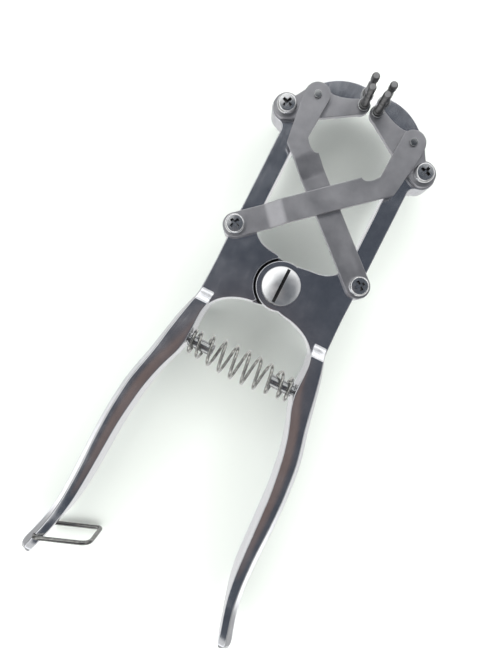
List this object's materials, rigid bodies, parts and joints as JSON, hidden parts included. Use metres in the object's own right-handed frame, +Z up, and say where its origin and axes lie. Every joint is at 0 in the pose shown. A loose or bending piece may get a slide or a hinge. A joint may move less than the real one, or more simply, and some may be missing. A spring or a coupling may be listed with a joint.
{
  "type": "ring expanding pliers",
  "caption": "Spring-opened pliers with two cast handles, crossed steel arms and upright prongs that spread a rubber ring into a square; wire latch on one handle.",
  "frame": {"origin": "on the pivot screw's axis, on the plane that the tool lies on", "axes": "+Y along the tool to the prongs, +X to the right handle, +Z up, the way the prongs stand"},
  "size_m": [0.1144, 0.2737, 0.0378],
  "materials": {
    "cast_aluminium": "polished casting",
    "satin_steel": "satin, finely brushed",
    "dark_steel": "turned, slightly oxidised",
    "bright_zinc": "bright zinc plate",
    "spring_wire": "bright drawn wire"
  },
  "bodies": {
    "right_lever": {"right_lever": "cast_aluminium", "pivot_screw": "bright_zinc", "pivot_nut": "bright_zinc", "link_screw_right": "bright_zinc", "link_nut_right": "bright_zinc", "ear_screw_right": "bright_zinc", "ear_nut_right": "bright_zinc", "upper_prong_right": "dark_steel", "upper_prong_washer_right": "dark_steel", "spring_post_right": "bright_zinc", "return_spring": "spring_wire"},
    "left_lever": {"left_lever": "cast_aluminium", "link_screw_left": "bright_zinc", "link_nut_left": "bright_zinc", "ear_screw_left": "bright_zinc", "ear_nut_left": "bright_zinc", "upper_prong_left": "dark_steel", "upper_prong_washer_left": "dark_steel", "spring_post_left": "bright_zinc"},
    "front_cross_arm": {"front_cross_arm": "satin_steel", "link_rivet_right": "satin_steel"},
    "rear_cross_arm": {"rear_cross_arm": "satin_steel", "link_rivet_left": "satin_steel"},
    "prong_arm_right": {"prong_arm_right": "satin_steel", "lower_prong_right": "dark_steel", "lower_prong_washer_right": "dark_steel"},
    "prong_arm_left": {"prong_arm_left": "satin_steel", "lower_prong_left": "dark_steel", "lower_prong_washer_left": "dark_steel"},
    "latch_bail": {"latch_bail": "spring_wire"}
  },
  "joints": [
    {"name": "handle_squeeze", "type": "hinge", "parent": "right_lever", "child": "left_lever", "pos_m": [0, 0, 0], "axis": [0, 0, 1], "range_deg": [0, 24], "stiffness_Nm_per_rad": 2.6, "springref_deg": -8.59, "deforming": ["return_spring"]},
    {"name": "right_prong_arm_swing", "type": "hinge", "parent": "right_lever", "child": "prong_arm_right", "pos_m": [0.0363, 0.0778, 0], "axis": [0, 0, 1], "range_deg": [0, 58]},
    {"name": "left_prong_arm_swing", "type": "hinge", "parent": "left_lever", "child": "prong_arm_left", "pos_m": [-0.0363, 0.0778, 0], "axis": [0, 0, -1], "range_deg": [0, 58]},
    {"name": "rear_arm_swing", "type": "hinge", "parent": "right_lever", "child": "rear_cross_arm", "pos_m": [0.0328, 0.0161, 0], "axis": [0, 0, 1], "range_deg": [0, 24]},
    {"name": "front_arm_swing", "type": "hinge", "parent": "left_lever", "child": "front_cross_arm", "pos_m": [-0.0328, 0.0161, 0], "axis": [0, 0, -1], "range_deg": [0, 24]},
    {"name": "latch_bail_swing", "type": "hinge", "parent": "left_lever", "child": "latch_bail", "pos_m": [-0.0512, -0.1595, 0.011], "axis": [0, 0, 1], "range_deg": [-60, 30]}
  ],
  "couplings": [
    {"joint": "right_prong_arm_swing", "follows": "handle_squeeze", "ratio": 2.4156},
    {"joint": "left_prong_arm_swing", "follows": "handle_squeeze", "ratio": 2.4156},
    {"joint": "rear_arm_swing", "follows": "handle_squeeze", "ratio": 0.9838},
    {"joint": "front_arm_swing", "follows": "handle_squeeze", "ratio": 0.9838}
  ]
}
